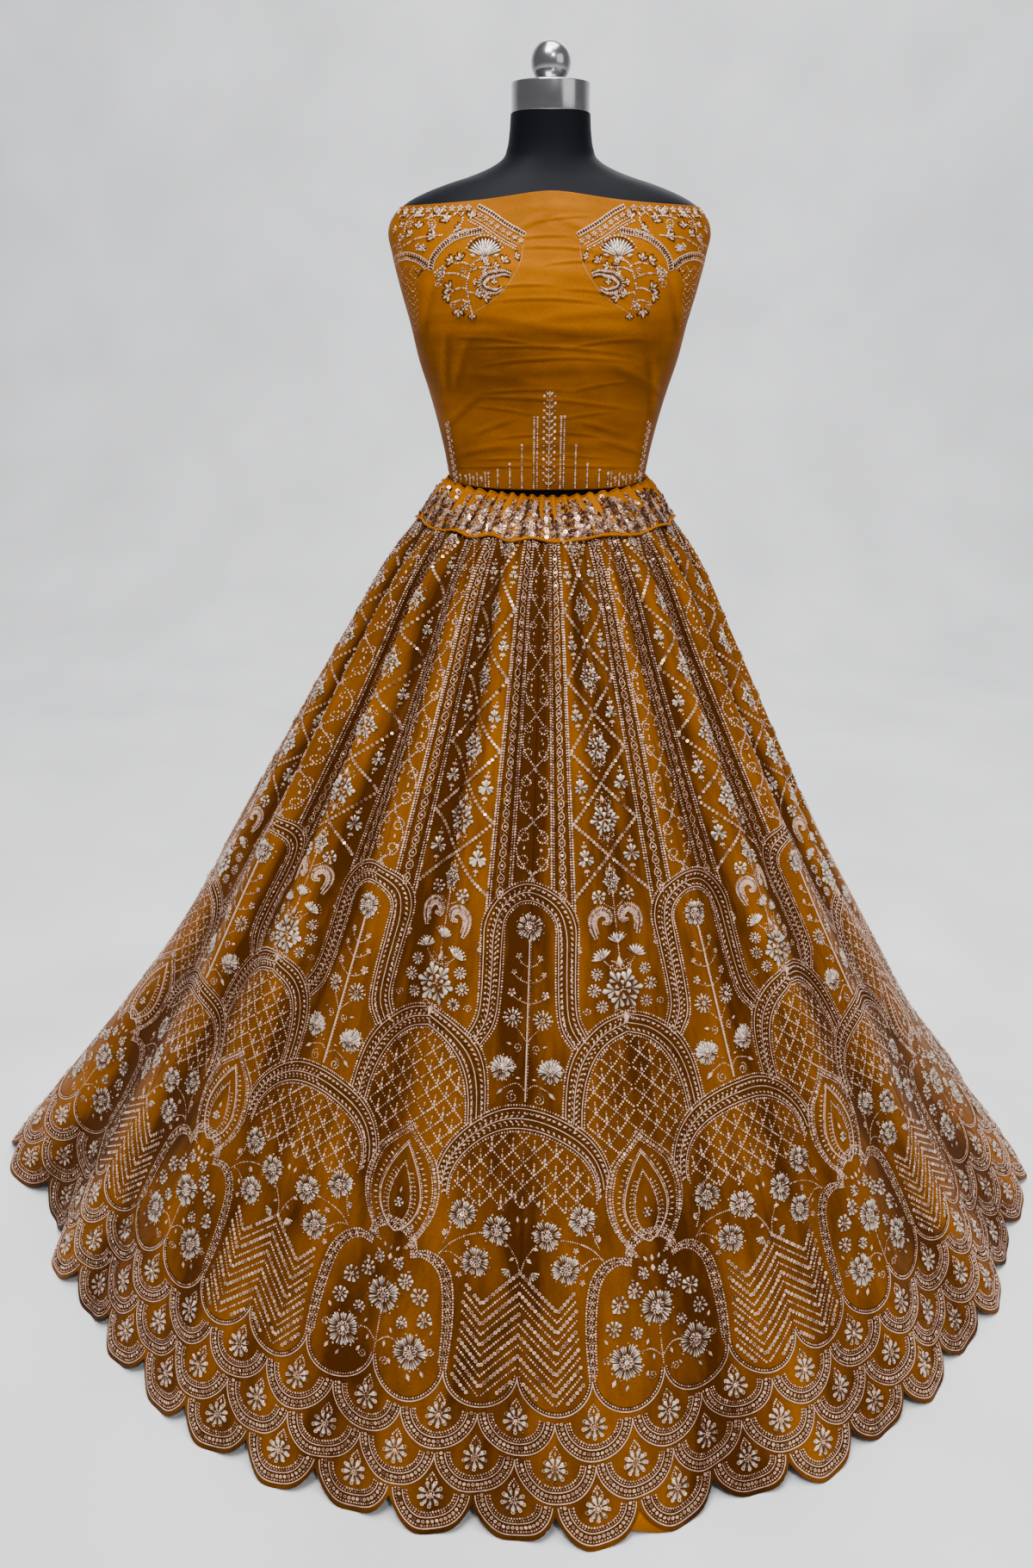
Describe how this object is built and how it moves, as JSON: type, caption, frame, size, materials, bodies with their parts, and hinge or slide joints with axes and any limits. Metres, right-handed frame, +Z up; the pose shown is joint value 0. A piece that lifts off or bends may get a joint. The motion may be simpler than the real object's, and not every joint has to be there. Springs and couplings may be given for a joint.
{
  "type": "lehenga choli on a dress form",
  "caption": "Flared, floor-length embroidered skirt with a wrapped strapless blouse, shown on a limbless black dress form with a pole stand.",
  "frame": {"origin": "centre of the underside of the stand's round foot, on the dress form's vertical axis", "axes": "+Z up, the garment's front faces -Y, +X is towards the wearer's left arm"},
  "size_m": [1.5523, 1.3579, 1.4779],
  "materials": {
    "mustard_net": "net over satin with rose-gold thread, beads and sequins",
    "mustard_satin": "satin",
    "black_jersey": "matte jersey",
    "chrome": "polished",
    "black_steel": "satin powder coat"
  },
  "bodies": {
    "root": {"kali_01": "mustard_net", "kali_02": "mustard_net", "kali_03": "mustard_net", "kali_04": "mustard_net", "kali_05": "mustard_net", "kali_06": "mustard_net", "kali_07": "mustard_net", "kali_08": "mustard_net", "kali_09": "mustard_net", "kali_10": "mustard_net", "kali_11": "mustard_net", "kali_12": "mustard_net", "lining_01": "mustard_satin", "lining_02": "mustard_satin", "lining_03": "mustard_satin", "lining_04": "mustard_satin", "lining_05": "mustard_satin", "lining_06": "mustard_satin", "lining_07": "mustard_satin", "lining_08": "mustard_satin", "lining_09": "mustard_satin", "lining_10": "mustard_satin", "lining_11": "mustard_satin", "lining_12": "mustard_satin", "waistband": "mustard_net", "waist_piping": "mustard_satin", "choli_front": "mustard_satin", "choli_back": "mustard_satin", "form_torso": "black_jersey", "neck_cap": "chrome", "cap_ball": "chrome", "stand_pole": "black_steel", "stand_foot": "black_steel"}
  },
  "joints": []
}
